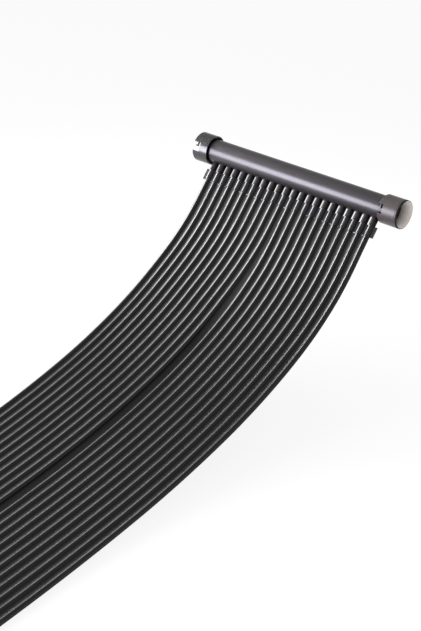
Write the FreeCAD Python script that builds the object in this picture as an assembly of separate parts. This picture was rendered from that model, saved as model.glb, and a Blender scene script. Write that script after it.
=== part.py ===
import FreeCAD, Part
import math
import os

# Solar pool heater panel: two header pipes joined by two mats of small black tubes.
# The upper header is held up by the bend of the mats, which then lie flat on the ground
# as far as the lower header.
# X runs along the headers, the mats run from the upper header towards -Y, Z is up.
# The origin is on the ground, under the middle of the panel's box. Sizes are in mm.

Vector = FreeCAD.Vector
X_AXIS = Vector(1, 0, 0)

# Header pipe
pipe_od = 60.0
pipe_wall = 4.0
pipe_stub = 2.0

# Moulded bosses and spigots that the tubes are pushed onto
boss_od = 16.0
boss_length = 20.0
boss_chamfer = 1.0
spigot_length = 24.0
spigot_fit = 0.2
spigot_wall = 1.3

# Tube mats
tubes_per_mat = 11
tube_pitch = 23.2
tube_od = 13.0
tube_wall = 1.5
web_thickness = 1.6
edge_flange = 1.2
panel_length = 3048.0
butt_gap = 0.3
free_tube = 30.0
seam_fit = 0.2

# Side view of the mats: slope at each header, and the arcs between, each with the slope at its end
upper_slope = 46.9
upper_straight = 60.0
first_arc = 140.0
first_arc_slope = 32.3
second_arc = 200.0
second_arc_slope = 20.8
third_arc = 230.0
third_arc_slope = 11.7
fourth_arc = 300.0
fourth_arc_slope = 4.9
fifth_arc = 280.0
fifth_arc_slope = 1.6
last_arc = 210.0
lower_slope = 10.0
lower_straight = 60.0

# Clamp bar over the tube ends
bar_length = 28.0
bar_thickness = 3.0
bar_overhang = 8.2
sleeve_od = 16.5
sleeve_fit = 0.15
bar_gap = 0.7

# Collars on the header ends, and how far each stands out from the pipe
left_collar_step = 7.5
right_collar_step = 5.5
collar_wall = 3.0
collar_chamfer = 1.5
collar_break = 0.8
collar_bevel = 3.0
left_collar_outer = 310.0
left_collar_length = 46.0
left_land = 9.0
left_recess = 10.0
right_collar_inner = 254.0
right_collar_length = 48.5
right_land = 24.0
pipe_fit = 0.25

# Bayonet notch in each collar, with a hook standing in it, turned up from the tubes
notch_width = 23.0
left_notch_depth = 22.0
right_notch_depth = 13.0
notch_turn = 70.0
hook_inset = 5.0
hook_width = 3.0
hook_reach = 10.0
hook_tip = 4.0
cut_margin = 1.0

# Seals, gasket, liner and the rubber ring under the liner's flange
seal_section = 3.4
groove_width = 4.4
groove_depth = 2.6
seal_inset = 7.0
gasket_thickness = 4.0
gasket_bore = 54.0
gasket_room = 0.5
gasket_seat = 1.0
liner_wall = 1.8
liner_fit = 0.15
flange_thickness = 1.5
rubber_ring_length = 6.0
ring_inset = 0.2

# Values that follow from the ones above
pipe_radius = pipe_od / 2
pipe_bore = pipe_od - 2 * pipe_wall
tube_bore = tube_od - 2 * tube_wall
tube_start = pipe_radius + boss_length + butt_gap
web_start = tube_start + free_tube
spigot_od = tube_bore - 2 * spigot_fit
left_collar_od = pipe_od + 2 * left_collar_step
right_collar_od = pipe_od + 2 * right_collar_step
left_bore = left_collar_od - 2 * collar_wall
right_bore = right_collar_od - 2 * collar_wall
land_bore = pipe_od + 2 * pipe_fit
ground_radius = max(left_collar_od, right_collar_od) / 2
first_tube = tube_pitch / 2
outer_tube = first_tube + (tubes_per_mat - 1) * tube_pitch
left_end = -left_collar_outer
right_collar_end = right_collar_inner + right_collar_length
flange_x = right_collar_end + rubber_ring_length
right_end = flange_x + flange_thickness
centre_shift = -(left_end + right_end) / 2
left_land_x = left_end + left_collar_length - left_recess - left_land
left_seal_x = left_land_x + left_land / 2
right_land_x = right_collar_inner + right_land
right_seal_x = right_land_x - seal_inset
pipe_left_end = left_land_x
pipe_right_end = right_land_x + pipe_stub
pipe_length = pipe_right_end - pipe_left_end
droop_arcs = [(first_arc, first_arc_slope), (second_arc, second_arc_slope), (third_arc, third_arc_slope),
              (fourth_arc, fourth_arc_slope), (fifth_arc, fifth_arc_slope), (last_arc, 0.0)]


def rad(degrees):
    return math.radians(degrees)


def side_path():
    """Steps of the mats' side view from the upper header's axis: (length, slope before, after)."""
    steps = [(pipe_radius + boss_length + free_tube + upper_straight, upper_slope, upper_slope)]
    slope = upper_slope
    for length, next_slope in droop_arcs:
        steps.append((length, slope, next_slope))
        slope = next_slope
    end_straight = pipe_radius + boss_length + free_tube + lower_straight
    rise = ground_radius - tube_od / 2 - end_straight * math.sin(rad(lower_slope))
    arc_radius = rise / (1 - math.cos(rad(lower_slope)))
    arc_length = arc_radius * rad(lower_slope)
    used = sum(step[0] for step in steps) + arc_length + end_straight
    steps.append((panel_length - used, 0.0, 0.0))
    steps.append((arc_length, 0.0, -lower_slope))
    steps.append((end_straight, -lower_slope, -lower_slope))
    return steps


def advance(y, z, length, before, after):
    """Point reached from (y, z) by a straight run or by an arc that turns from one slope to the other."""
    if before == after:
        return y - length * math.cos(rad(before)), z - length * math.sin(rad(before))
    radius = length / rad(before - after)
    new_y = y - radius * (math.sin(rad(before)) - math.sin(rad(after)))
    new_z = z - radius * (math.cos(rad(after)) - math.cos(rad(before)))
    return new_y, new_z


steps = side_path()
drop_y = 0.0
drop_z = 0.0
for length, before, after in steps[:-3]:
    drop_y, drop_z = advance(drop_y, drop_z, length, before, after)
upper_z = tube_od / 2 - drop_z
end_y = drop_y
end_z = drop_z
for length, before, after in steps[-3:]:
    end_y, end_z = advance(end_y, end_z, length, before, after)
upper_y = -end_y / 2
lower_y = end_y / 2
lower_z = ground_radius


def ring(x, y, z, length, outer, inner):
    """Tube of round section along X."""
    place = Vector(x, y, z)
    body = Part.makeCylinder(outer / 2, length, place, X_AXIS)
    return body.cut(Part.makeCylinder(inner / 2, length, place, X_AXIS))


def turned(points):
    """Solid of revolution about the X axis from (x, radius) points."""
    corners = [Vector(x, 0, radius) for x, radius in points]
    face = Part.Face(Part.makePolygon(corners + [corners[0]]))
    return face.revolve(Vector(0, 0, 0), X_AXIS, 360)


def tube_places():
    """X of every tube at a header, both mats."""
    right = [first_tube + i * tube_pitch for i in range(tubes_per_mat)]
    return [-x for x in reversed(right)] + right


def bayonet_notch(x_start, depth, outer_radius):
    """Notch open at x_start, down to the pipe, with a hook left standing in it."""
    top = notch_width / 2
    reach = outer_radius + cut_margin
    thick = reach - math.sqrt(pipe_radius ** 2 - top ** 2)
    hook_x = x_start + depth - hook_inset - hook_width
    notch = Part.makeBox(depth + cut_margin, thick, notch_width, Vector(x_start - cut_margin, -reach, -top))
    stem = Part.makeBox(hook_width, thick, hook_reach, Vector(hook_x, -reach, top - hook_reach))
    tip = Part.makeBox(hook_tip + hook_width, thick, hook_width, Vector(hook_x - hook_tip, -reach, top - hook_reach))
    notch = notch.cut(stem.fuse(tip))
    notch.rotate(Vector(0, 0, 0), X_AXIS, -notch_turn)
    return notch


def boss(x):
    """Solid boss with a chamfered rim and the spigot that a tube is pushed onto, as turned steps."""
    root = pipe_radius - pipe_wall
    tip = pipe_radius + boss_length
    rim = boss_od / 2
    steps_out = [(root, 0), (root, rim), (tip - boss_chamfer, rim), (tip, rim - boss_chamfer), (tip, spigot_od / 2),
                 (tip + spigot_length, spigot_od / 2), (tip + spigot_length, 0)]
    corners = [Vector(x + radius, -reach, 0) for reach, radius in steps_out]
    face = Part.Face(Part.makePolygon(corners + [corners[0]]))
    return face.revolve(Vector(x, 0, 0), Vector(0, -1, 0), 360)


def header_pipe():
    """Header pipe along X through the origin, its bosses and spigots pointing to -Y."""
    start = Vector(pipe_left_end, 0, 0)
    body = Part.makeCylinder(pipe_radius, pipe_length, start, X_AXIS)
    body = body.fuse([boss(x) for x in tube_places()])
    cuts = [Part.makeCylinder(pipe_bore / 2, pipe_length, start, X_AXIS)]
    channel = spigot_od / 2 - spigot_wall
    for x in tube_places():
        cuts.append(Part.makeCylinder(channel, pipe_radius + boss_length + spigot_length,
                                      Vector(x, 0, 0), Vector(0, -1, 0)))
    for x in (left_seal_x, right_seal_x):
        cuts.append(ring(x - groove_width / 2, 0, 0, groove_width, pipe_od + cut_margin, pipe_od - 2 * groove_depth))
    return body.cut(cuts)


def left_collar():
    """Coupling collar of the left end: open mouth, gasket seat, land on the pipe, recess towards the tubes."""
    outer = left_collar_od / 2
    bore = left_bore / 2
    seat = bore + gasket_seat
    seat_x = left_land_x - gasket_thickness - gasket_room
    x_in = left_end + left_collar_length
    c = collar_chamfer
    points = [(left_end, bore), (left_end, outer - c), (left_end + c, outer),
              (x_in - collar_break, outer), (x_in, outer - collar_break), (x_in, bore),
              (left_land_x + left_land, bore), (left_land_x + left_land, land_bore / 2),
              (left_land_x, land_bore / 2), (left_land_x, seat), (seat_x, seat), (seat_x, bore)]
    return turned(points).cut(bayonet_notch(left_end, left_notch_depth, outer))


def right_collar():
    """Socket collar of the right end: land on the pipe, then the open mouth with the liner in it."""
    outer = right_collar_od / 2
    bore = right_bore / 2
    x_in = right_collar_inner
    x_out = right_collar_end
    points = [(x_in, land_bore / 2), (x_in, outer - collar_bevel), (x_in + collar_bevel, outer),
              (x_out - collar_break, outer), (x_out, outer - collar_break),
              (x_out, bore), (right_land_x, bore), (right_land_x, land_bore / 2)]
    return turned(points).cut(bayonet_notch(x_in, right_notch_depth, outer))


def seal(x):
    """Seal ring lying in its groove, squeezed by the collar's land."""
    inner = pipe_radius - groove_depth
    outer = land_bore / 2
    half = seal_section / 2
    cut = seal_section / 4
    points = [(x - half, inner + cut), (x - half, outer - cut), (x - half + cut, outer), (x + half - cut, outer),
              (x + half, outer - cut), (x + half, inner + cut), (x + half - cut, inner), (x - half + cut, inner)]
    return turned(points)


def left_gasket():
    """Flat gasket in its seat against the land inside the left mouth."""
    return ring(left_land_x - gasket_thickness, 0, 0, gasket_thickness,
                left_bore + 2 * gasket_seat - 2 * liner_fit, gasket_bore)


def right_liner():
    """Pale sleeve inside the right mouth, with a flange over its end."""
    start = pipe_right_end + butt_gap
    outer = right_bore / 2 - liner_fit
    inner = outer - liner_wall
    flange = right_collar_od / 2 - ring_inset
    return turned([(start, inner), (start, outer), (flange_x, outer), (flange_x, flange),
                   (right_end, flange), (right_end, inner)])


def right_ring():
    """Rubber ring between the right collar's end and the liner's flange."""
    return ring(right_collar_end, 0, 0, rubber_ring_length, right_collar_od - 2 * ring_inset, right_bore)


def clamp_bar():
    """Flat moulded bar with one sleeve round each tube, square to the tubes."""
    y_near = -(tube_start + bar_gap)
    half = outer_tube + sleeve_od / 2 + bar_overhang
    plate = Part.makeBox(2 * half, bar_length, bar_thickness,
                         Vector(-half, y_near - bar_length, -bar_thickness / 2))
    out = Vector(0, -1, 0)
    sleeves = [Part.makeCylinder(sleeve_od / 2, bar_length, Vector(x, y_near, 0), out) for x in tube_places()]
    bores = [Part.makeCylinder(tube_od / 2 + sleeve_fit, bar_length, Vector(x, y_near, 0), out)
             for x in tube_places()]
    return plate.fuse(sleeves).cut(bores)


def place_on_upper(shape):
    """Turns a header piece to the upper slope and puts it on the upper header's axis."""
    shape = shape.copy()
    shape.rotate(Vector(0, 0, 0), X_AXIS, upper_slope)
    shape.translate(Vector(centre_shift, upper_y, upper_z))
    return shape


def place_on_lower(shape):
    """Turns a header piece round to face the mats from the far side."""
    shape = shape.copy()
    shape.rotate(Vector(0, 0, 0), X_AXIS, 180 - lower_slope)
    shape.translate(Vector(centre_shift, lower_y, lower_z))
    return shape


def section_point(y, z, slope, x, height):
    """Point of a section square to the path: x across, height along the mat's upward normal."""
    return Vector(x, y - height * math.sin(rad(slope)), z + height * math.cos(rad(slope)))


def along(slope):
    """Direction of the mats where they fall at this slope."""
    return Vector(0, -math.cos(rad(slope)), -math.sin(rad(slope)))


def bore_edge(y, z, slope, x):
    return Part.Circle(Vector(x, y, z), along(slope), tube_bore / 2).toShape()


def tube_arcs(y, z, slope, x):
    """Outside of one tube as four arcs: top, right root, bottom, left root."""
    half_web = web_thickness / 2
    radius = tube_od / 2
    root = math.sqrt(radius ** 2 - half_web ** 2)

    def at(across, height):
        return section_point(y, z, slope, x + across, height)
    corners = [(-root, half_web), (root, half_web), (root, -half_web), (-root, -half_web)]
    crowns = [(0, radius), (radius, 0), (0, -radius), (-radius, 0)]
    arcs = []
    for number, crown in enumerate(crowns):
        first = at(*corners[number])
        second = at(*corners[(number + 1) % 4])
        arcs.append(Part.Arc(first, at(*crown), second).toShape())
    return arcs


def web_spans(places):
    """Across-spans of the webs between the tubes and of the flange at each edge, as (from, to)."""
    root = math.sqrt((tube_od / 2) ** 2 - (web_thickness / 2) ** 2)
    seam = first_tube - seam_fit / 2
    outer = tube_od / 2 + edge_flange
    low_edge = places[0] - (seam if places[0] > 0 else outer)
    high_edge = places[-1] + (seam if places[-1] < 0 else outer)
    starts = [low_edge] + [x + root for x in places]
    ends = [x - root for x in places] + [high_edge]
    return list(zip(starts, ends))


def web_lines(y, z, slope, places):
    """Top and bottom line of every web span, then the line at each free edge of the mat."""
    half_web = web_thickness / 2
    spans = web_spans(places)

    def at(x, height):
        return section_point(y, z, slope, x, height)
    lines = []
    for sign in (1, -1):
        for x_from, x_to in spans:
            lines.append(Part.LineSegment(at(x_from, sign * half_web), at(x_to, sign * half_web)).toShape())
    for x in (spans[0][0], spans[-1][1]):
        lines.append(Part.LineSegment(at(x, half_web), at(x, -half_web)).toShape())
    return lines


def web_ends(y, z, slope, places):
    """Cut ends of the webs, flat faces between the tubes."""
    half_web = web_thickness / 2
    arcs = [tube_arcs(y, z, slope, x) for x in places]
    spans = web_spans(places)

    def side(x):
        return Part.LineSegment(section_point(y, z, slope, x, half_web),
                                section_point(y, z, slope, x, -half_web)).toShape()
    faces = []
    for number, (x_from, x_to) in enumerate(spans):
        edges = []
        for sign in (1, -1):
            first = section_point(y, z, slope, x_from, sign * half_web)
            second = section_point(y, z, slope, x_to, sign * half_web)
            edges.append(Part.LineSegment(first, second).toShape())
        edges.append(side(x_from) if number == 0 else arcs[number - 1][1])
        edges.append(side(x_to) if number == len(places) else arcs[number][3])
        faces.append(Part.Face(Part.Wire(Part.__sortEdges__(edges))))
    return faces


def swept(edge, y, z, length, before, after):
    """Surface of an edge carried along one step of the path."""
    if before == after:
        return edge.extrude(along(before) * length)
    radius = length / rad(before - after)
    centre = Vector(0, y - radius * math.sin(rad(before)), z + radius * math.cos(rad(before)))
    return edge.revolve(centre, X_AXIS, after - before)


def free_tubes(y, z, slope, places, far_end):
    """Surfaces of the free tube ends, from (y, z) on for one free length, closed at the header side."""
    faces = []
    y_end, z_end = advance(y, z, free_tube, slope, slope)
    for x in places:
        for edge in tube_arcs(y, z, slope, x) + [bore_edge(y, z, slope, x)]:
            faces.append(swept(edge, y, z, free_tube, slope, slope))
        y_cap, z_cap = (y_end, z_end) if far_end else (y, z)
        outer = Part.Wire(tube_arcs(y_cap, z_cap, slope, x))
        faces.append(Part.Face([outer, Part.Wire(bore_edge(y_cap, z_cap, slope, x))]))
    return faces


def tube_mat(side):
    """One mat: free tube ends at both headers, webbed tubes between them."""
    right = [first_tube + i * tube_pitch for i in range(tubes_per_mat)]
    places = right if side > 0 else [-x for x in reversed(right)]
    y, z = advance(upper_y, upper_z, tube_start, upper_slope, upper_slope)
    faces = free_tubes(y, z, upper_slope, places, False)
    y, z = advance(y, z, free_tube, upper_slope, upper_slope)
    faces += web_ends(y, z, upper_slope, places)
    last = len(steps) - 1
    for number, (length, before, after) in enumerate(steps):
        run = length - web_start if number in (0, last) else length
        edges = [arc for x in places for arc in tube_arcs(y, z, before, x)[::2]]
        edges += [bore_edge(y, z, before, x) for x in places]
        edges += web_lines(y, z, before, places)
        faces += [swept(edge, y, z, run, before, after) for edge in edges]
        y, z = advance(y, z, run, before, after)
    faces += web_ends(y, z, -lower_slope, places)
    faces += free_tubes(y, z, -lower_slope, places, True)
    skin = Part.makeCompound(faces)
    skin.sewShape()
    solid = Part.Solid(skin.Shells[0])
    if solid.Volume < 0:
        solid.reverse()
    return solid


def save(name, shape):
    if len(shape.Solids) == 1:
        shape = shape.Solids[0]
    print(name, "solids", len(shape.Solids), "faces", len(shape.Faces), "valid", shape.isValid(),
          "volume", round(shape.Volume / 1000, 1))
    shape.exportStep("parts/" + name + ".step")


os.makedirs("parts", exist_ok=True)

header_pieces = {
    "header_pipe": header_pipe(),
    "left_collar": left_collar(),
    "right_collar": right_collar(),
    "left_seal": seal(left_seal_x),
    "right_seal": seal(right_seal_x),
    "left_gasket": left_gasket(),
    "right_liner": right_liner(),
    "right_ring": right_ring(),
    "clamp_bar": clamp_bar(),
}
for name, shape in header_pieces.items():
    save("upper_" + name, place_on_upper(shape))
    save("lower_" + name, place_on_lower(shape))

for name, side in (("left_tube_mat", -1), ("right_tube_mat", 1)):
    mat = tube_mat(side)
    mat.translate(Vector(centre_shift, 0, 0))
    save(name, mat)
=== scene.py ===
"""Solar pool heater panel: looks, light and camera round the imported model."""

import math

import bmesh
import bpy
import numpy as np
from mathutils import Matrix, Vector


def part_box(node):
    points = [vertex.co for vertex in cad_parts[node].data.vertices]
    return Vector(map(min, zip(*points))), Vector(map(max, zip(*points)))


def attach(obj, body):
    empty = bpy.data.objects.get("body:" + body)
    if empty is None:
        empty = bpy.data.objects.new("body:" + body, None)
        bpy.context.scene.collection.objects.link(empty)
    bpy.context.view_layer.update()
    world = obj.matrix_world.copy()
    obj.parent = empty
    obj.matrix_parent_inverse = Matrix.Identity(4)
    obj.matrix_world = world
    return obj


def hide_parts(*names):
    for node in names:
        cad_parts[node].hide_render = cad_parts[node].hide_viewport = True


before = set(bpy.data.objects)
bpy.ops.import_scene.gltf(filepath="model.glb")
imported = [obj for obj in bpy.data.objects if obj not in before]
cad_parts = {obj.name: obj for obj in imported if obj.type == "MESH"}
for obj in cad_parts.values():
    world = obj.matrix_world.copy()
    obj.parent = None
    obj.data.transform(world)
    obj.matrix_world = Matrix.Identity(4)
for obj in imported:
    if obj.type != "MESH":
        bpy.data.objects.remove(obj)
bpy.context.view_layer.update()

bl_info = {
    "name": "Solar pool heater panel",
    "version": (1, 0, 0),
    "blender": (4, 5, 0),
    "location": "View3D > Sidebar > Pool panel",
    "description": "Makes the tube mats, headers, collars and studio of a solar pool heater panel",
    "category": "Object",
}

ROOT = "root"
MM = 0.001
X_AXIS = np.array([1.0, 0.0, 0.0])
HEADERS = ("upper", "lower")
MATS = {"left_tube_mat": -1, "right_tube_mat": 1}

# Side view of the mats, as in the construction: straight to the first bend, then arcs as
# (length in mm, slope in degrees at the arc's end), then flat ground and the rise to the lower header
UPPER_SLOPE = 46.9
LOWER_SLOPE = 10.0
DROOP_ARCS = ((140.0, 32.3), (200.0, 20.8), (230.0, 11.7), (300.0, 4.9), (280.0, 1.6), (210.0, 0.0))
HEADER_STRAIGHT = 140.0
PANEL_LENGTH = 3048.0

# Spacing of the mats' samples along the path (mm): in the droop, on flat ground and on the last stretch
DROOP_STEP = 14.0
FLAT_STEP = 110.0
RISE_STEP = 16.0
RISE_REACH = 320.0

# Tubes (mm): gap between a boss and its tube, depth of the open bore, the rounding of the cut end along
# and across the tube, and the number of a tube's sides
BUTT_GAP = 0.3
BORE_DEPTH = 12.0
END_ROUND_ALONG = 0.4
END_ROUND_ACROSS = 0.3
TUBE_SIDES = 24

# Webs (mm): where they are cut, from the bosses' ends, how much further a ragged cut may lie, its slant
# over the web, how much further the strip at the seam is cut back, and the random seed of each mat's cuts
WEB_SETBACK = 29.2
CUT_RAGGED = 1.6
CUT_SLANT = 0.6
SEAM_SETBACK = 0.8
CUT_SEEDS = {-1: 11, 1: 7}
# A web begins inside its tube, at this share of the radius, and thickens into it by a soft root (mm) that
# fades with a power of the way across; the last row holds the places of a web's corners on that way
WEB_ROOT = 0.93
ROOT_FILLET = 1.6
ROOT_POWER = 10
ACROSS_WEB = np.array([0.0, 0.06, 0.14, 0.3, 0.5, 0.7, 0.86, 0.94, 1.0])
# Path lengths from a header (mm) between which the seam between the mats goes into the shade
SEAM_SHADE = (200.0, 480.0)

# The left collar's notch, as in the construction: its turn from the tubes (degrees), and where its hook
# stands along the collar from its end and across the notch (mm)
NOTCH_TURN = 70.0
HOOK_ALONG = (9.9, 17.1)
HOOK_ACROSS = (1.4, 11.3)
# What stands further off the pipe than this (mm) is a boss
BOSS_PROUD = 0.3

# Mouth of the right collar (mm): play between the pieces, how far the liner's flange lies behind the
# ring's start and its face behind the mouth, the liner's flat edge, the ring's rounding as (back from the
# mouth, in from the outside), its face, and the bevel of the collar's rim
MOUTH_FIT = 0.05
FLANGE_SETBACK = 0.2
LINER_SETBACK = 0.4
LINER_EDGE = 0.1
RING_ROUNDING = ((1.2, 0.0), (0.5, 0.3), (0.2, 0.9))
RING_SETBACK = 0.2
RIM_BEVEL = 0.3

# Sleeve on a boss (mm): its fit, how far it stops short of the boss's end, its bevel, how deep its root is
# sunk into the pipe, and the number of its sides and of a turned piece's
SLEEVE_FIT = 0.02
SLEEVE_SHORT = 0.2
SLEEVE_BEVEL = 0.6
SLEEVE_SUNK = 3.0
SLEEVE_SIDES = 32
LATHE_SIDES = 128

# A face counts as part of a turned surface when the value that is constant on one differs by less than
# this over its corners (m), when it faces along the radius, and when it isn't square to the axis, the last
# two as shares of 1
TURNED_TOLERANCE = 0.03 * MM
TURNED_FACING = 0.985
TURNED_LEAST = 0.05
# Play added to the radius at which a turned surface is looked for (m)
TURNED_PLAY = 0.5 * MM

# Sockets of a Mix node: its factor, its two numbers, its two colours and the colour that comes out
FACTOR, NUMBER_A, NUMBER_B, COLOUR_A, COLOUR_B, COLOUR_OUT = 0, 2, 3, 6, 7, 2

# Plastic: size of its soft mottling (mm), how far the grain is drawn out along a tube, how much the
# roughness varies, what is left of the gloss on a dull stretch, whose cut gloss also paints shade, and in
# the shaded seam
MOTTLE_MM = 60.0
DRAWN_OUT = 0.02
ROUGHNESS_VARIES = 0.12
DULL_SHADE_GLOSS = 0.1
SEAM_GLOSS = 0.08

# Finish and slot of each piece of a header
HEADER_FINISHES = {"header_pipe": ("polypropylene_satin_moulded", "header_plastic"),
                   "left_collar": ("polypropylene_smooth_collar", "collar_plastic"),
                   "right_collar": ("polypropylene_satin_collar", "collar_plastic"),
                   "clamp_bar": ("polypropylene_satin_bar", "bar_plastic"),
                   "left_seal": ("epdm_rubber_moulded", "seal_rubber"),
                   "right_seal": ("epdm_rubber_moulded", "seal_rubber"),
                   "right_ring": ("epdm_rubber_moulded", "seal_rubber"),
                   "left_gasket": ("silicone_pale_moulded", "liner_rubber"),
                   "right_liner": ("silicone_pale_moulded", "liner_rubber")}
MAT_FINISH = ("polypropylene_gloss_extruded", "tube_plastic")

# The photograph's frame and the camera found from it, seen from the upper header's middle (degrees, m)
FRAME_WIDTH_PX = 421
FOCAL_PX = 1460.1
CAMERA_AZIMUTH = 35.816
CAMERA_ELEVATION = 25.061
CAMERA_DISTANCE = 3.612
CAMERA_YAW = 3.772
CAMERA_PITCH = 5.399
CAMERA_ROLL = 0.087
SENSOR_MM = 36.0

# Lamps: name, direction, distance, width and height (m), watts, colour, spread (degrees), and the point
# that they are aimed at, from the upper header's middle (m)
LAMPS = (
    ("front_softbox", (-0.53, -0.834, 0.154), 2.6, 1.2, 1.6, 136.0, "#f2efff", 180.0, (0.0, 0.0, 0.0)),
    ("left_softbox", (-0.93, -0.08, 0.34), 2.2, 1.4, 1.05, 14.9, "#ffffff", 57.0, (0.0, 0.0, 0.0)),
    ("low_softbox", (-0.74, 0.6, 0.3), 2.2, 1.4, 1.05, 1.75, "#ffffff", 52.0, (0.0, -1.25, -0.39)),
)

# Floor: half its side (m), its colour, and how far it is white to the camera
FLOOR_HALF = 30.0
FLOOR_COLOUR = "#e6e6e6"
FLOOR_WHITE = 0.88
# Room: its fill light, and what glossy rays see of it at the horizon and from this height up
ROOM_FILL = 0.7
HORIZON_GLOSS = 0.9
CEILING_GLOSS = 0.42
CEILING_HEIGHT = 0.45


def srgb(hex_colour):
    """Linear RGBA of an sRGB hex colour, channel by channel with the standard curve."""
    values = []
    for start in (1, 3, 5):
        value = int(hex_colour[start:start + 2], 16) / 255
        values.append(value / 12.92 if value <= 0.04045 else ((value + 0.055) / 1.055) ** 2.4)
    return (*values, 1.0)


def add(tree, kind, settings=None, links=None):
    """Adds one node; settings are properties or socket values, links are socket to source socket."""
    node = tree.nodes.new(kind)
    for key, value in (settings or {}).items():
        if isinstance(key, str) and hasattr(node, key) and key not in node.inputs:
            setattr(node, key, value)
        else:
            node.inputs[key].default_value = value
    for key, source in (links or {}).items():
        tree.links.new(source, node.inputs[key])
    return node


def header_axis(header):
    """Point on a header's axis at the middle of its tube row.

    Its x is the middle of the clamp bar's box, and its y and z are the middle of the left collar's box.
    """
    collar = np.mean(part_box(header + "_left_collar"), axis=0)
    bar = np.mean(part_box(header + "_clamp_bar"), axis=0)
    return np.array([bar[0], collar[1], collar[2]])


def side_steps(collar_radius, tube_radius):
    """Path steps as (length, slope before, slope after) in mm and degrees, header axis to header axis.

    The rise to the lower header is an arc of r (1 - cos a) in height and r a in length, then a straight.
    """
    steps = [(HEADER_STRAIGHT, UPPER_SLOPE, UPPER_SLOPE)]
    slope = UPPER_SLOPE
    for length, after in DROOP_ARCS:
        steps.append((length, slope, after))
        slope = after
    angle = math.radians(LOWER_SLOPE)
    rise = collar_radius - tube_radius - HEADER_STRAIGHT * math.sin(angle)
    arc = rise / (1 - math.cos(angle)) * angle
    used = sum(step[0] for step in steps) + arc + HEADER_STRAIGHT
    steps.append((PANEL_LENGTH - used, 0.0, 0.0))
    steps.append((arc, 0.0, -LOWER_SLOPE))
    steps.append((HEADER_STRAIGHT, -LOWER_SLOPE, -LOWER_SLOPE))
    return steps


def step_curve(t, length, before, after):
    """Way in y and z (mm) and slope at lengths t into one step.

    The slope falls evenly from a to b on an arc of radius r = length / (a - b), so y and z are its exact
    integrals: y = -r (sin a - sin slope) and z = -r (cos slope - cos a). On a straight they are lines.
    """
    a = math.radians(before)
    b = math.radians(after)
    if before == after:
        return -t * math.cos(a), -t * math.sin(a), np.full_like(t, a)
    radius = length / (a - b)
    slope = a - t / radius
    return -radius * (math.sin(a) - np.sin(slope)), -radius * (np.cos(slope) - math.cos(a)), slope


def side_curve(s, steps, start):
    """y and z (m) and slopes at path lengths s (mm): each step begins where the one before it ends."""
    y, z, slope = np.zeros((3, len(s)))
    y0, z0, s0 = start[1], start[2], 0.0
    for length, before, after in steps:
        t = np.append(np.clip(s - s0, 0, length), length)
        dy, dz, turn = step_curve(t, length, before, after)
        inside = s >= s0 - 1e-9
        y = np.where(inside, y0 + dy[:-1] * MM, y)
        z = np.where(inside, z0 + dz[:-1] * MM, z)
        slope = np.where(inside, turn[:-1], slope)
        y0 += dy[-1] * MM
        z0 += dz[-1] * MM
        s0 += length
    return y, z, slope


def square_to(curve, axis, across, height):
    """Cross sections square to a side curve, in metres.

    x = axis + across, y = curve - height sin slope and z = curve + height cos slope.
    """
    y, z, slope = (row[:, None] for row in curve)
    return np.stack([axis[0] + across, y - height * np.sin(slope), z + height * np.cos(slope)], -1)


def grid_faces(rows, cols, offset):
    """Quads of a rows by cols grid of vertices, closed across its columns."""
    i, j = np.meshgrid(np.arange(rows - 1), np.arange(cols), indexing="ij")
    k = (j + 1) % cols
    quads = np.stack([i * cols + j, i * cols + k, (i + 1) * cols + k, (i + 1) * cols + j], -1)
    return quads.reshape(-1, 4) + offset


def grid_uv(across, s):
    """UV of a grid in metres: its place across the piece, and its path length s (mm)."""
    return np.stack(np.broadcast_arrays(across, s[:, None] * MM), -1)


class Skin:
    """Gathers grids of vertices into one mesh, with a UV in metres and a web value for each vertex."""

    def __init__(self):
        self.points = []
        self.faces = []
        self.uv = []
        self.web = []
        self.count = 0

    def grid(self, points, uv=None, web=0.0):
        """Adds one grid; web is one value or one for each row."""
        rows, cols = points.shape[:2]
        if uv is None:
            uv = np.zeros((rows, cols, 2))
        self.points.append(points.reshape(-1, 3))
        self.faces.append(grid_faces(rows, cols, self.count))
        self.uv.append(uv.reshape(-1, 2))
        self.web.append(np.broadcast_to(np.reshape(web, (-1, 1)), (rows, cols)).ravel())
        self.count += rows * cols

    def piece(self, name, material, nodes, smooth_angle):
        """Makes the object, merges the poles, points the faces outwards and hands it to the frame."""
        points = np.concatenate(self.points)
        faces = np.concatenate(self.faces)
        uv = np.concatenate(self.uv)
        mesh = bpy.data.meshes.new(name)
        mesh.vertices.add(len(points))
        mesh.vertices.foreach_set("co", points.astype(np.float32).ravel())
        mesh.loops.add(faces.size)
        mesh.loops.foreach_set("vertex_index", faces.astype(np.int32).ravel())
        mesh.polygons.add(len(faces))
        mesh.polygons.foreach_set("loop_start", np.arange(0, faces.size, 4, dtype=np.int32))
        mesh.update(calc_edges=True)
        layer = mesh.uv_layers.new(name="along")
        layer.data.foreach_set("uv", uv[faces.ravel()].astype(np.float32).ravel())
        vertex_value(mesh, "web", np.concatenate(self.web))
        obj = bpy.data.objects.new(name, mesh)
        bpy.context.collection.objects.link(obj)
        clean(obj, smooth_angle)
        finish_piece(obj, material, nodes)
        return obj


def vertex_value(mesh, name, values):
    """Stores one number for each vertex, for a material to read."""
    attribute = mesh.attributes.new(name, "FLOAT", "POINT")
    attribute.data.foreach_set("value", values.astype(np.float32))


def clean(obj, smooth_angle):
    """Merges double vertices, recalculates the normals and smooths all but sharp edges."""
    mesh = obj.data
    work = bmesh.new()
    work.from_mesh(mesh)
    bmesh.ops.remove_doubles(work, verts=work.verts, dist=1e-6)
    bmesh.ops.recalc_face_normals(work, faces=work.faces)
    work.to_mesh(mesh)
    work.free()
    mesh.shade_smooth()
    mesh.set_sharp_from_angle(angle=math.radians(smooth_angle))


def finish_piece(obj, material, nodes):
    """Gives a piece its material, hangs it on the root body and hides the built pieces that it stands for."""
    obj.data.materials.clear()
    obj.data.materials.append(material)
    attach(obj, ROOT)
    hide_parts(*nodes)


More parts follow.
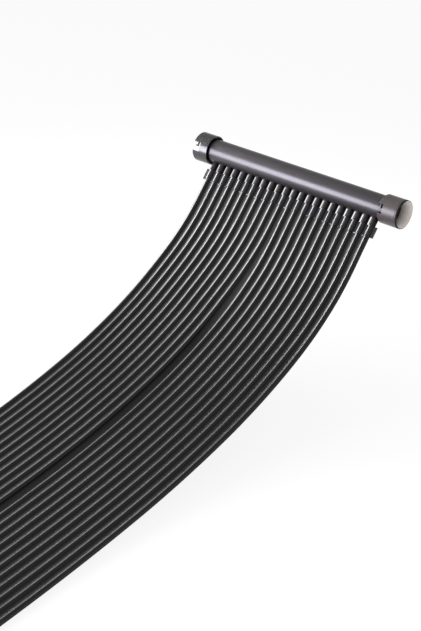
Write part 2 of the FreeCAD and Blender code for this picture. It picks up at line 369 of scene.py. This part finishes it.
def dress_node(name, material):
    """Gives a built piece its plastic."""
    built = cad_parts[name]
    built.data.materials.clear()
    built.data.materials.append(material)


def plastic(name, colour, roughness, specular, grain_mm, grain_depth_mm, mottle=0.15, web=None, crevice_shade=None):
    """Base of every plastic here: a colour that varies softly and a fine surface grain.

    The colour is c (1 - mottle) to c (1 + mottle). web is (roughness, specular) of the webs between tubes,
    and draws the grain out along the tubes. crevice_shade paints shade into hollows and gaps, where an
    ambient occlusion darkens the colour and the gloss; it is (reach in mm, openness where it is darkest,
    openness where it ends, darkest factor), and goes with the attribute that marks a dull stretch, whose
    gloss is cut down both for a duller skin and as painted shade.
    """
    material = bpy.data.materials.new(name)
    material.use_nodes = True
    tree = material.node_tree
    tree.nodes.clear()
    coords = add(tree, "ShaderNodeTexCoord")
    grain_space = coords.outputs["Object"]
    if web:
        drawn = add(tree, "ShaderNodeMapping", {"Scale": (1.0, DRAWN_OUT, 1.0)},
                    {"Vector": coords.outputs["UV"]})
        grain_space = drawn.outputs["Vector"]
    cloud = add(tree, "ShaderNodeTexNoise", {"Scale": 1 / (MOTTLE_MM * MM), "Detail": 4.0, "Roughness": 0.6},
                {"Vector": coords.outputs["Object"]})
    dark, light = (tuple(c * (1 + sign * mottle) for c in srgb(colour)[:3]) + (1.0,) for sign in (-1, 1))
    tone = add(tree, "ShaderNodeMix", {"data_type": "RGBA", COLOUR_A: dark, COLOUR_B: light},
               {FACTOR: cloud.outputs["Fac"]})
    base_colour = tone.outputs[COLOUR_OUT]
    grain = add(tree, "ShaderNodeTexNoise", {"Scale": 1 / (grain_mm * MM), "Detail": 3.0, "Roughness": 0.55},
                {"Vector": grain_space})
    bump = add(tree, "ShaderNodeBump", {"Strength": 1.0, "Distance": grain_depth_mm * MM},
               {"Height": grain.outputs["Fac"]})
    rough = add(tree, "ShaderNodeMapRange", {"To Min": roughness * (1 - ROUGHNESS_VARIES),
                                             "To Max": roughness * (1 + ROUGHNESS_VARIES)},
                {"Value": grain.outputs["Fac"]})
    roughness_out = rough.outputs[0]
    gloss = None
    if crevice_shade:
        reach, darkest, ends, factor = crevice_shade
        # painted shade: ambient occlusion darkens the colour and the gloss in hollows and gaps
        hollow = add(tree, "ShaderNodeAmbientOcclusion", {"samples": 6, "Distance": reach * MM})
        depth = add(tree, "ShaderNodeMapRange",
                    {"From Min": darkest, "From Max": ends, "To Min": factor, "To Max": 1.0},
                    {"Value": hollow.outputs["AO"]})
        shaded = add(tree, "ShaderNodeMix", {"data_type": "RGBA", "blend_type": "MULTIPLY", FACTOR: 1.0},
                     {COLOUR_A: base_colour, COLOUR_B: depth.outputs[0]})
        base_colour = shaded.outputs[COLOUR_OUT]
        # a dull stretch keeps little gloss: a duller mould skin, and painted shade on the bosses and the hook
        dull_shade = add(tree, "ShaderNodeAttribute", {"attribute_name": "dull_shade"})
        shine = add(tree, "ShaderNodeMapRange", {"To Min": specular, "To Max": specular * DULL_SHADE_GLOSS},
                    {"Value": dull_shade.outputs["Fac"]})
        gloss = add(tree, "ShaderNodeMath", {"operation": "MULTIPLY"},
                    {0: depth.outputs[0], 1: shine.outputs[0]})
    if web:
        # the attribute is 0 on a tube, 1 on a web and 2 on the shaded seam between the mats
        kind = add(tree, "ShaderNodeAttribute", {"attribute_name": "web"})
        mixed = add(tree, "ShaderNodeMix", {"data_type": "FLOAT", NUMBER_B: web[0]},
                    {FACTOR: kind.outputs["Fac"], NUMBER_A: roughness_out})
        roughness_out = mixed.outputs[0]
        shine = add(tree, "ShaderNodeMapRange", {"To Min": specular, "To Max": web[1]},
                    {"Value": kind.outputs["Fac"]})
        seam = add(tree, "ShaderNodeMapRange",
                   {"From Min": 1.0, "From Max": 2.0, "To Min": 1.0, "To Max": SEAM_GLOSS},
                   {"Value": kind.outputs["Fac"]})
        gloss = add(tree, "ShaderNodeMath", {"operation": "MULTIPLY"},
                    {0: shine.outputs[0], 1: seam.outputs[0]})
    shader = add(tree, "ShaderNodeBsdfPrincipled",
                 {"Specular IOR Level": specular, "IOR": 1.49, "Metallic": 0.0},
                 {"Base Color": base_colour, "Roughness": roughness_out, "Normal": bump.outputs["Normal"]})
    if gloss is not None:
        tree.links.new(gloss.outputs[0], shader.inputs["Specular IOR Level"])
    add(tree, "ShaderNodeOutputMaterial", {}, {"Surface": shader.outputs["BSDF"]})
    return material


def materials():
    """The panel's finishes, made once and found again by name."""
    if "polypropylene_satin_moulded" in bpy.data.materials:
        return
    look = bpy.context.scene.pool_panel_looks
    # Moulded polypropylene pipe: charcoal, satin, a faint orange-peel skin that softens the highlight,
    # and painted shade round and between the bosses
    plastic("polypropylene_satin_moulded", look.header_colour, roughness=0.34, specular=0.5,
            grain_mm=1.6, grain_depth_mm=0.02, crevice_shade=(14.0, 0.4, 0.95, 0.2))
    # Left collar: the pipe's charcoal, from a smoother mould that shows a sharper highlight, with painted
    # shade in its notch and gaps
    plastic("polypropylene_smooth_collar", look.left_collar_colour, roughness=0.26, specular=0.62,
            grain_mm=1.2, grain_depth_mm=0.03, mottle=0.2, crevice_shade=(7.0, 0.35, 0.9, 0.3))
    # Right collar: browner and duller, and mottled where the plastic met in the mould, with painted shade
    # in its notch and gaps
    plastic("polypropylene_satin_collar", look.right_collar_colour, roughness=0.37, specular=0.48,
            grain_mm=1.2, grain_depth_mm=0.04, mottle=0.3, crevice_shade=(7.0, 0.35, 0.9, 0.12))
    # Extruded tube: near black and glossy, with faint draw lines, drawn coarse enough to show
    plastic("polypropylene_gloss_extruded", look.tube_colour, roughness=0.21, specular=0.42,
            grain_mm=0.8, grain_depth_mm=0.004, mottle=0.1, web=(0.34, 0.45))
    # Clamp bar: black moulded plastic with a satin face
    plastic("polypropylene_satin_bar", look.bar_colour, roughness=0.34, specular=0.5,
            grain_mm=1.0, grain_depth_mm=0.03)
    # Seal rubber: black and dull
    plastic("epdm_rubber_moulded", look.seal_colour, roughness=0.75, specular=0.15,
            grain_mm=0.6, grain_depth_mm=0.02)
    # Liner: pale silicone sleeve, soft and slightly chalky, with painted shade that darkens it towards its
    # inner end
    plastic("silicone_pale_moulded", look.liner_colour, roughness=0.55, specular=0.4,
            grain_mm=1.5, grain_depth_mm=0.02, mottle=0.05, crevice_shade=(60.0, 0.15, 0.6, 0.12))


def tube_x(side, size):
    """X of a mat's tubes at the header, from the seam outwards, relative to the row's middle."""
    return side * (size.tube_pitch / 2 + np.arange(size.tubes_per_mat) * size.tube_pitch)


def boss_end(size):
    """Path length at which the bosses end (mm)."""
    return (size.pipe_radius + size.boss_length) / MM


def splay(s, size):
    """How far a mat has moved out from the seam at path length s (mm).

    Beyond each header it is a smooth step t^2 (3 - 2 t), with t from 0 to 1 over the run.
    """
    def ease(t):
        t = np.clip(t, 0, 1)
        return t * t * (3 - 2 * t)
    begin = size.splay_begin / MM
    run = size.splay_run / MM
    return size.mat_splay * np.minimum(ease((s - begin) / run), ease((PANEL_LENGTH - s - begin) / run))


def path_samples(start, end):
    """Path lengths from start to end (mm), close together where the mats bend."""
    droop_end = HEADER_STRAIGHT + sum(arc[0] for arc in DROOP_ARCS)
    rise_start = PANEL_LENGTH - RISE_REACH
    samples = np.concatenate([np.arange(start, droop_end, DROOP_STEP),
                              np.arange(droop_end, rise_start, FLAT_STEP),
                              np.arange(rise_start, end, RISE_STEP)])
    samples = samples[(samples > start + 1) & (samples < end - 1)]
    return np.concatenate([[start], samples, [end]])


def mat_tubes(skin, side, size, axis, steps):
    """Tubes of one mat: circles square to the side curve, with an open bore at each end.

    A circle of radius r has its corners at across = r cos a and height = r sin a. At a cut end the rows
    go from the bore's bottom along its wall, over the cut and its rounding, and on to the outside.
    """
    start = boss_end(size) + BUTT_GAP
    radius = size.tube_radius
    bore = radius - size.tube_wall
    s = path_samples(start, PANEL_LENGTH - start)
    end_s = np.array([BORE_DEPTH, BORE_DEPTH, 0.0, 0.0, END_ROUND_ALONG])
    end_r = np.array([0.0, bore, bore, radius - END_ROUND_ACROSS * MM, radius])
    r = np.concatenate([end_r, np.full(len(s) - 2, radius), end_r[::-1]])
    s = np.concatenate([s[0] + end_s, s[1:-1], s[-1] - end_s[::-1]])
    curve = side_curve(s, steps, axis)
    angle = np.linspace(0, 2 * math.pi, TUBE_SIDES, endpoint=False)
    across = np.cos(angle) * r[:, None] + side * splay(s, size)[:, None]
    height = np.sin(angle) * r[:, None]
    for x in tube_x(side, size):
        skin.grid(square_to(curve, axis, x + across, height), grid_uv(angle * radius + x, s))


def seam_shade(s):
    """Web value of the seam at path lengths s (mm): 1 near a header, rising evenly to 2 in the shade."""
    near = np.minimum(s, PANEL_LENGTH - s)
    return 1 + np.clip((near - SEAM_SHADE[0]) / (SEAM_SHADE[1] - SEAM_SHADE[0]), 0, 1)


def with_ends(rows):
    """The rows with the first and the last of them once more at the ends."""
    return np.concatenate([rows[:1], rows, rows[-1:]])


def mat_webs(skin, side, size, axis, steps):
    """Webs of one mat: thin strips that thicken into the tubes, with a ragged cut at each end.

    With v from 0 to 1 across a strip, across = left + (right - left) v, and the height on both faces is
    half the thickness plus fillet ((1 - v)^p + v^p), without the term of a side that has no tube. Both
    faces are one closed loop of corners.
    """
    xs = tube_x(side, size)
    root = side * size.tube_radius * WEB_ROOT
    rng = np.random.default_rng(CUT_SEEDS[side])
    start = boss_end(size) + WEB_SETBACK
    v = ACROSS_WEB
    spans = [("seam", side * size.seam_fit / 2, xs[0] - root)]
    spans += [("web", xs[i] + root, xs[i + 1] - root) for i in range(len(xs) - 1)]
    spans.append(("edge", xs[-1] + root, xs[-1] + side * (size.tube_radius + size.edge_flange)))
    for kind, x_from, x_to in spans:
        ragged = rng.uniform(0.0, CUT_RAGGED, 2) + (SEAM_SETBACK if kind == "seam" else 0.0)
        slant = rng.uniform(-CUT_SLANT, CUT_SLANT)
        s = path_samples(start + ragged[0], PANEL_LENGTH - start - ragged[1])
        curve = side_curve(s, steps, axis)
        shift = side * splay(s, size)
        # the strips at the seam stay together at their inner edges, so they widen as the mats part
        left = x_from + (0 * shift if kind == "seam" else shift)
        across = left[:, None] + (x_to + shift - left)[:, None] * v
        fillet = (kind != "seam") * (1 - v) ** ROOT_POWER + (kind != "edge") * v ** ROOT_POWER
        height = np.broadcast_to(size.web_thickness / 2 + ROOT_FILLET * MM * fillet, across.shape)
        loop_x = np.concatenate([across, across[:, ::-1]], 1)
        loop_h = np.concatenate([height, -height[:, ::-1]], 1)
        points = square_to(curve, axis, loop_x, loop_h)
        # the slant moves the first row along the path, by its share of the way across
        slope = curve[2][0]
        tilt = slant * MM * (np.concatenate([v, v[::-1]]) - 0.5)
        points[0] -= tilt[:, None] * np.array([0.0, math.cos(slope), math.sin(slope)])
        # a closing row at each end folds the loop flat, so that the strip has no open edge
        points = with_ends(points)
        middle = (points[[0, -1], :len(v)] + points[[0, -1], len(v):][:, ::-1]) / 2
        points[[0, -1]] = np.concatenate([middle, middle[:, ::-1]], 1)
        skin.grid(points, with_ends(grid_uv(loop_x, s)), with_ends(seam_shade(s)) if kind == "seam" else 1.0)


class PoolPanelSizes(bpy.types.PropertyGroup):
    """Sizes of the panel's pieces."""
    tubes_per_mat: bpy.props.IntProperty(name="Tubes per mat", description="Tubes in each of the two mats",
                                         default=11, min=2, max=30)
    tube_pitch: bpy.props.FloatProperty(name="Tube pitch", description="Distance from tube to tube",
                                        default=23.2 * MM, unit="LENGTH")
    tube_radius: bpy.props.FloatProperty(name="Tube radius", description="Outside radius of a tube",
                                         default=6.5 * MM, unit="LENGTH")
    tube_wall: bpy.props.FloatProperty(name="Tube wall", description="Wall of a tube",
                                       default=1.5 * MM, unit="LENGTH")
    web_thickness: bpy.props.FloatProperty(name="Web thickness", description="Thickness of the webs",
                                           default=1.6 * MM, unit="LENGTH")
    edge_flange: bpy.props.FloatProperty(name="Edge flange", description="Web left outside the last tube",
                                         default=1.2 * MM, unit="LENGTH")
    seam_fit: bpy.props.FloatProperty(name="Seam fit", description="Gap between the two mats",
                                      default=0.2 * MM, unit="LENGTH")
    mat_splay: bpy.props.FloatProperty(name="Mat splay", description="How far a mat moves out from the seam",
                                       default=6.0 * MM, unit="LENGTH")
    splay_begin: bpy.props.FloatProperty(name="Splay begin", description="Where the mats start to part",
                                         default=90.0 * MM, unit="LENGTH")
    splay_run: bpy.props.FloatProperty(name="Splay run", description="Length over which the mats part",
                                       default=300.0 * MM, unit="LENGTH")
    pipe_radius: bpy.props.FloatProperty(name="Pipe radius", description="Outside radius of a header pipe",
                                         default=30.0 * MM, unit="LENGTH")
    boss_radius: bpy.props.FloatProperty(name="Boss radius", description="Outside radius of a tube boss",
                                         default=8.0 * MM, unit="LENGTH")
    boss_length: bpy.props.FloatProperty(name="Boss length", description="Boss length from the pipe",
                                         default=20.0 * MM, unit="LENGTH")
    boss_sleeve: bpy.props.FloatProperty(name="Boss sleeve", description="Wall of the sleeve on a boss",
                                         default=0.65 * MM, unit="LENGTH")
    liner_bore: bpy.props.FloatProperty(name="Liner bore", description="Inside radius of the pale liner",
                                        default=30.55 * MM, unit="LENGTH")
    liner_wall: bpy.props.FloatProperty(name="Liner wall", description="Wall of the pale liner",
                                        default=1.8 * MM, unit="LENGTH")
    ring_lip: bpy.props.FloatProperty(name="Ring lip", description="Width of the rubber ring round the liner",
                                      default=1.8 * MM, unit="LENGTH")
    lip_depth: bpy.props.FloatProperty(name="Lip depth", description="How far the liner's mouth flares",
                                       default=7.0 * MM, unit="LENGTH")
    rim_length: bpy.props.FloatProperty(name="Rim length", description="Collar's rim over the rubber ring",
                                        default=3.2 * MM, unit="LENGTH")


class PoolPanelLooks(bpy.types.PropertyGroup):
    """Colours of the panel's finishes, as sRGB hex."""
    header_colour: bpy.props.StringProperty(name="Header colour", description="Charcoal header pipe",
                                            default="#2a2829")
    left_collar_colour: bpy.props.StringProperty(name="Left collar colour",
                                                 description="Collars with the open notch", default="#242222")
    right_collar_colour: bpy.props.StringProperty(name="Right collar colour",
                                                  description="Collars with the liner", default="#3f3938")
    tube_colour: bpy.props.StringProperty(name="Tube colour", description="Black tube mats",
                                          default="#151413")
    bar_colour: bpy.props.StringProperty(name="Bar colour", description="Clamp bars", default="#1a191b")
    seal_colour: bpy.props.StringProperty(name="Seal colour", description="Seal rings", default="#171617")
    liner_colour: bpy.props.StringProperty(name="Liner colour", description="Pale liners and gaskets",
                                           default="#f3ebe5")


class POOLPANEL_OT_mats(bpy.types.Operator):
    """Makes the two tube mats"""
    bl_idname = "pool_panel.mats"
    bl_label = "Tube mats"

    def execute(self, context):
        materials()
        size = context.scene.pool_panel_sizes
        axis = header_axis("upper")
        low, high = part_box("upper_left_collar")
        steps = side_steps((high[1] - low[1]) / 2 / MM, size.tube_radius / MM)
        finish, slot = MAT_FINISH
        for name, side in MATS.items():
            skin = Skin()
            mat_tubes(skin, side, size, axis, steps)
            mat_webs(skin, side, size, axis, steps)
            skin.piece(name + "_skin", bpy.data.materials[finish], [name], smooth_angle=40.0)
            dress_node(name, bpy.data.materials[finish])
        return {"FINISHED"}


def mesh_values(collection, name, width, kind=np.float64):
    """One value or vector of every member of a mesh collection, as an array."""
    values = np.zeros(len(collection) * width, kind)
    collection.foreach_get(name, values)
    return values.reshape(-1, width) if width > 1 else values


def true_normals(mesh, axes):
    """Gives turned surfaces their exact normals and leaves flat faces flat.

    For an axis through a with unit direction u, a corner at p has the radial vector
    q = (p - a) - ((p - a).u) u. On a face of a cylinder or cone with normal n, the value
    |q| sqrt(1 - (n.u)^2) + ((p - a).u)(n.u) is the same at every corner, and the true normal there
    is (n.u) u + sqrt(1 - (n.u)^2) q / |q|. Each axis is (points, u, largest radius), and a face
    belongs to the point nearest in x; the first axis that fits a face is used.
    """
    places = mesh_values(mesh.vertices, "co", 3)[mesh_values(mesh.loops, "vertex_index", 1, np.int32)]
    starts = mesh_values(mesh.polygons, "loop_start", 1, np.int32)
    owner = np.repeat(np.arange(len(starts)), mesh_values(mesh.polygons, "loop_total", 1, np.int32))
    face_normals = mesh_values(mesh.polygons, "normal", 3)
    middles = mesh_values(mesh.polygons, "center", 3)
    normals = face_normals[owner]
    free = np.ones(len(starts), bool)
    for points, along, reach in axes:
        nearest = points[np.abs(middles[:, :1] - points[None, :, 0]).argmin(1)]
        lean = face_normals @ along
        flat = np.sqrt(np.clip(1 - lean ** 2, 0, 1))
        offset = places - nearest[owner]
        radial = offset - (offset @ along)[:, None] * along
        radius = np.linalg.norm(radial, axis=1)
        outward = radial / np.maximum(radius, 1e-9)[:, None]
        facing = (normals * outward).sum(1)
        level = radius * np.sign(facing) * flat[owner] + (offset @ along) * lean[owner]
        spread = np.maximum.reduceat(level, starts) - np.minimum.reduceat(level, starts)
        widest = np.maximum.reduceat(radius, starts)
        aligned = np.minimum.reduceat(np.abs(facing) - TURNED_FACING * flat[owner], starts)
        fits = free & (spread < TURNED_TOLERANCE) & (widest < reach) & (aligned > 0) & (flat > TURNED_LEAST)
        corners = fits[owner]
        exact = lean[owner][:, None] * along + (flat[owner] * np.sign(facing))[:, None] * outward
        normals[corners] = exact[corners]
        free &= ~fits
    mesh.shade_smooth()
    mesh.normals_split_custom_set(normals.tolist())


def header_axes(header, size):
    """Axes of a header's turned surfaces, as (points, direction): along the pipe, and out along the tubes."""
    axis = header_axis(header)
    slope = math.radians(UPPER_SLOPE if header == "upper" else 180 - LOWER_SLOPE)
    out = np.array([0.0, -math.cos(slope), -math.sin(slope)])
    tubes = np.concatenate([tube_x(-1, size), tube_x(1, size)])
    return (axis[None], X_AXIS), (axis + tubes[:, None] * X_AXIS, out)


def lathe(profile, centre):
    """Grid of a closed (x, radius) profile in metres, carried round a line along X.

    At angle a, y = centre + r cos a and z = centre + r sin a.
    """
    angle = np.linspace(0, 2 * math.pi, LATHE_SIDES, endpoint=False)
    x, r = np.array(profile + profile[:1]).T[..., None]
    return np.stack([x + 0 * angle, centre[1] + r * np.cos(angle), centre[2] + r * np.sin(angle)], -1)


def mouth_profiles(header, size):
    """Liner with a flared mouth, the rubber ring that holds its edge and the collar's thin rim over the ring.

    Each is a closed (x, radius) profile in metres, by the name of the piece that it belongs to.
    """
    liner_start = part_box(header + "_right_liner")[0][0]
    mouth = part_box(header + "_right_liner")[1][0]
    ring_low, ring_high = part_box(header + "_right_ring")
    collar_low, collar_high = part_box(header + "_right_collar")
    start = ring_low[0]
    outside = (ring_high[1] - ring_low[1]) / 2
    rim = (collar_high[1] - collar_low[1]) / 2
    bore = size.liner_bore
    sleeve = bore + size.liner_wall
    lip = outside - size.ring_lip
    fit = MOUTH_FIT * MM
    flange = start + FLANGE_SETBACK * MM
    face = mouth - LINER_SETBACK * MM
    ring_face = mouth - RING_SETBACK * MM
    rim_end = start + size.rim_length
    return {
        "right_liner": [(liner_start, bore), (liner_start, sleeve), (flange, sleeve), (flange, lip),
                        (face, lip), (face, lip - LINER_EDGE * MM), (mouth - size.lip_depth, bore)],
        "right_ring": [(start, lip + fit), (start, outside),
                       *((mouth - back * MM, outside - inwards * MM) for back, inwards in RING_ROUNDING),
                       (ring_face, lip + fit)],
        "right_collar": [(start - fit, outside + fit), (start - fit, rim), (rim_end - RIM_BEVEL * MM, rim),
                         (rim_end, rim - fit), (rim_end, outside + fit)],
    }


def boss_sleeves(header, material, size):
    """Moulded sleeve on each boss of a header: a closed (reach, radius) profile carried round a tube's line.

    With a on the tube's line, o the way out and u = o x X, point = a + reach o + radius (cos t X + sin t u).
    """
    starts, out = header_axes(header, size)[1]
    inner = size.boss_radius + SLEEVE_FIT * MM
    outer = size.boss_radius + size.boss_sleeve
    bevel = SLEEVE_BEVEL * MM
    tip = size.pipe_radius + size.boss_length - SLEEVE_SHORT * MM
    root = size.pipe_radius - SLEEVE_SUNK * MM
    profile = np.array([(root, inner), (root, outer), (tip - bevel, outer), (tip, outer - bevel),
                        (tip, inner), (root, inner)])
    angle = np.linspace(0, 2 * math.pi, SLEEVE_SIDES, endpoint=False)[:, None]
    ring = np.cos(angle) * X_AXIS + np.sin(angle) * np.cross(out, X_AXIS)
    shape = profile[:, :1, None] * out + profile[:, 1:, None] * ring
    skin = Skin()
    for start in starts:
        skin.grid(start + shape)
    obj = skin.piece(header + "_boss_skin", material, [header + "_header_pipe"], smooth_angle=30.0)
    # the sleeves keep as little gloss as the bosses: a duller skin, and painted shade
    vertex_value(obj.data, "dull_shade", np.ones(len(obj.data.vertices)))


def mark_dull_shade(mesh, header, part, out, size):
    """The cut gloss also paints the shade that the bosses and the hook stand in.

    The hook's corners are found by three coordinates: along the pipe, across the notch and away from the
    pipe. The last two are along u and o, turned by the notch's angle, with o the way out and u = o x X.
    """
    places = mesh_values(mesh.vertices, "co", 3)
    offset = places - header_axis(header)
    marked = np.zeros(len(places), bool)
    if part == "header_pipe":
        marked = np.hypot(offset[:, 1], offset[:, 2]) > size.pipe_radius + BOSS_PROUD * MM
    elif part == "left_collar":
        up = np.cross(out, X_AXIS)
        turn = math.radians(NOTCH_TURN)
        along = (places[:, 0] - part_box(header + "_left_collar")[0][0]) / MM
        across = offset @ (math.cos(turn) * up - math.sin(turn) * out) / MM
        away = offset @ (math.sin(turn) * up + math.cos(turn) * out) / MM
        marked = ((along > HOOK_ALONG[0]) & (along < HOOK_ALONG[1])
                  & (across > HOOK_ACROSS[0]) & (across < HOOK_ACROSS[1]) & (away > 0))
    vertex_value(mesh, "dull_shade", marked)


def smooth_copy(header, part, material, size):
    """Merged copy of a built piece with the exact normals of its turned surfaces.

    On the pipe only its own outside is turned about the pipe's axis, and on the bar nothing is.
    """
    name = header + "_" + part
    obj = bpy.data.objects.new(name + "_skin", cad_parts[name].data.copy())
    bpy.context.collection.objects.link(obj)
    clean(obj, smooth_angle=32.0)
    along_pipe, along_tubes = header_axes(header, size)
    mark_dull_shade(obj.data, header, part, along_tubes[1], size)
    reach = {"header_pipe": size.pipe_radius + TURNED_PLAY, "clamp_bar": 0.0}.get(part, math.inf)
    true_normals(obj.data, [(*along_pipe, reach), (*along_tubes, size.boss_radius + TURNED_PLAY)])
    finish_piece(obj, material, [name])


class POOLPANEL_OT_headers(bpy.types.Operator):
    """Makes the smooth header pipes, collars, bars and seals, and gives the built ones their plastics"""
    bl_idname = "pool_panel.headers"
    bl_label = "Headers"

    def execute(self, context):
        materials()
        size = context.scene.pool_panel_sizes
        for header in HEADERS:
            turned = mouth_profiles(header, size)
            for part, (finish, slot) in HEADER_FINISHES.items():
                name = header + "_" + part
                material = bpy.data.materials[finish]
                dress_node(name, material)
                if part in turned:
                    skin = Skin()
                    skin.grid(lathe(turned[part], header_axis(header)))
                    ending = "_rim_skin" if part == "right_collar" else "_skin"
                    skin.piece(name + ending, material, [name], smooth_angle=50.0)
                if part == "header_pipe":
                    boss_sleeves(header, material, size)
                if part not in ("right_liner", "right_ring"):
                    smooth_copy(header, part, material, size)
        return {"FINISHED"}


def look_along(obj, place, back, right, up):
    """Places an object so that it looks along minus back, with its X to the right and its Y up."""
    matrix = Matrix((right, up, back)).transposed().to_4x4()
    matrix.translation = Vector(place)
    obj.matrix_world = matrix


def direction(azimuth, elevation):
    """Unit vector towards a viewer at this azimuth and elevation; azimuth 0 is on the -Y side."""
    a = math.radians(azimuth)
    e = math.radians(elevation)
    return Vector((math.sin(a) * math.cos(e), -math.cos(a) * math.cos(e), math.sin(e)))


def set_camera(context):
    """Camera where the photograph was taken from, aimed with no shift."""
    camera = bpy.data.cameras.new("camera")
    camera.sensor_fit = "HORIZONTAL"
    camera.sensor_width = SENSOR_MM
    camera.lens = FOCAL_PX * SENSOR_MM / FRAME_WIDTH_PX
    camera.clip_end = 100.0
    obj = bpy.data.objects.new("camera", camera)
    context.collection.objects.link(obj)
    place = Vector(header_axis("upper")) + direction(CAMERA_AZIMUTH, CAMERA_ELEVATION) * CAMERA_DISTANCE
    back = direction(CAMERA_AZIMUTH + CAMERA_YAW, CAMERA_ELEVATION + CAMERA_PITCH)
    right = direction(CAMERA_AZIMUTH + CAMERA_YAW + 90.0, 0.0)
    up = back.cross(right)
    roll = math.radians(CAMERA_ROLL)
    look_along(obj, place, back, math.cos(roll) * right + math.sin(roll) * up,
               math.cos(roll) * up - math.sin(roll) * right)
    context.scene.camera = obj


def area_light(context, name, towards, distance, width, height, watts, colour, spread, aim):
    """Soft rectangular lamp aimed from a direction at a point given from the upper header."""
    light = bpy.data.lights.new(name, "AREA")
    light.shape = "RECTANGLE"
    light.size = width
    light.size_y = height
    light.energy = watts
    light.spread = math.radians(spread)
    light.color = srgb(colour)[:3]
    obj = bpy.data.objects.new(name, light)
    context.collection.objects.link(obj)
    towards = Vector(towards).normalized()
    target = Vector(header_axis("upper")) + Vector(aim)
    right = Vector((0, 0, 1)).cross(towards).normalized()
    look_along(obj, target + towards * distance, towards, right, towards.cross(right))


def any_ray(tree, *kinds):
    """Value that is 1 for rays of any of these kinds and 0 for the rest: the largest of their outputs."""
    path = add(tree, "ShaderNodeLightPath")
    value = path.outputs[kinds[0]]
    for kind in kinds[1:]:
        larger = add(tree, "ShaderNodeMath", {"operation": "MAXIMUM"}, {0: value, 1: path.outputs[kind]})
        value = larger.outputs[0]
    return value


def set_floor(context):
    """Pale floor that stays nearly white to the camera and keeps a soft shadow."""
    mesh = bpy.data.meshes.new("floor")
    corners = [(x * FLOOR_HALF, y * FLOOR_HALF, 0.0) for x, y in ((-1, -1), (1, -1), (1, 1), (-1, 1))]
    mesh.from_pydata(corners, [], [(0, 1, 2, 3)])
    floor = bpy.data.objects.new("floor", mesh)
    context.collection.objects.link(floor)
    material = bpy.data.materials.new("pale_floor")
    material.use_nodes = True
    tree = material.node_tree
    tree.nodes.clear()
    shade = add(tree, "ShaderNodeBsdfDiffuse", {"Color": srgb(FLOOR_COLOUR)})
    white = add(tree, "ShaderNodeEmission", {"Color": (1, 1, 1, 1), "Strength": 1.0})
    seen = any_ray(tree, "Is Camera Ray", "Is Glossy Ray", "Is Transmission Ray")
    amount = add(tree, "ShaderNodeMath", {"operation": "MULTIPLY", 1: FLOOR_WHITE}, {0: seen})
    mix = add(tree, "ShaderNodeMixShader", {},
              {0: amount.outputs[0], 1: shade.outputs[0], 2: white.outputs[0]})
    add(tree, "ShaderNodeOutputMaterial", {}, {"Surface": mix.outputs[0]})
    mesh.materials.append(material)


def set_room(context):
    """White surrounding: plain fill light, with white for the camera and a dim ceiling for glossy rays."""
    world = bpy.data.worlds.new("white_room")
    context.scene.world = world
    world.use_nodes = True
    tree = world.node_tree
    tree.nodes.clear()
    coords = add(tree, "ShaderNodeTexCoord")
    height = add(tree, "ShaderNodeSeparateXYZ", {}, {"Vector": coords.outputs["Generated"]})
    ceiling = add(tree, "ShaderNodeMapRange", {"From Min": 0.0, "From Max": CEILING_HEIGHT,
                                               "To Min": HORIZON_GLOSS, "To Max": CEILING_GLOSS},
                  {"Value": height.outputs["Z"]})
    mirrored = add(tree, "ShaderNodeMix", {"data_type": "FLOAT", NUMBER_A: ROOM_FILL},
                   {FACTOR: any_ray(tree, "Is Glossy Ray"), NUMBER_B: ceiling.outputs[0]})
    clear = any_ray(tree, "Is Camera Ray", "Is Transmission Ray")
    strength = add(tree, "ShaderNodeMix", {"data_type": "FLOAT", NUMBER_B: 1.0},
                   {FACTOR: clear, NUMBER_A: mirrored.outputs[0]})
    sky = add(tree, "ShaderNodeBackground", {"Color": (1, 1, 1, 1)}, {"Strength": strength.outputs[0]})
    add(tree, "ShaderNodeOutputWorld", {}, {"Surface": sky.outputs[0]})


class POOLPANEL_OT_stage(bpy.types.Operator):
    """Makes the camera, the lamps, the floor and the white surrounding"""
    bl_idname = "pool_panel.stage"
    bl_label = "Stage"

    def execute(self, context):
        set_camera(context)
        for lamp in LAMPS:
            area_light(context, *lamp)
        set_floor(context)
        set_room(context)
        context.scene.view_settings.view_transform = "Standard"
        return {"FINISHED"}


class POOLPANEL_PT_sidebar(bpy.types.Panel):
    """Buttons and values of the panel in the 3D view's sidebar"""
    bl_idname = "POOLPANEL_PT_sidebar"
    bl_label = "Solar pool heater panel"
    bl_space_type = "VIEW_3D"
    bl_region_type = "UI"
    bl_category = "Pool panel"

    def draw(self, context):
        layout = self.layout
        for operator in OPERATORS:
            layout.operator(operator.bl_idname)
        for group in (context.scene.pool_panel_sizes, context.scene.pool_panel_looks):
            for name in group.__annotations__:
                layout.prop(group, name)


OPERATORS = (POOLPANEL_OT_mats, POOLPANEL_OT_headers, POOLPANEL_OT_stage)
CLASSES = (PoolPanelSizes, PoolPanelLooks, *OPERATORS, POOLPANEL_PT_sidebar)


def register():
    for cls in CLASSES:
        bpy.utils.register_class(cls)
    bpy.types.Scene.pool_panel_sizes = bpy.props.PointerProperty(type=PoolPanelSizes)
    bpy.types.Scene.pool_panel_looks = bpy.props.PointerProperty(type=PoolPanelLooks)


def unregister():
    del bpy.types.Scene.pool_panel_looks
    del bpy.types.Scene.pool_panel_sizes
    for cls in reversed(CLASSES):
        bpy.utils.unregister_class(cls)


def main():
    register()
    for operator in OPERATORS:
        group, name = operator.bl_idname.split(".")
        getattr(getattr(bpy.ops, group), name)()


if __name__ == "__main__":
    main()
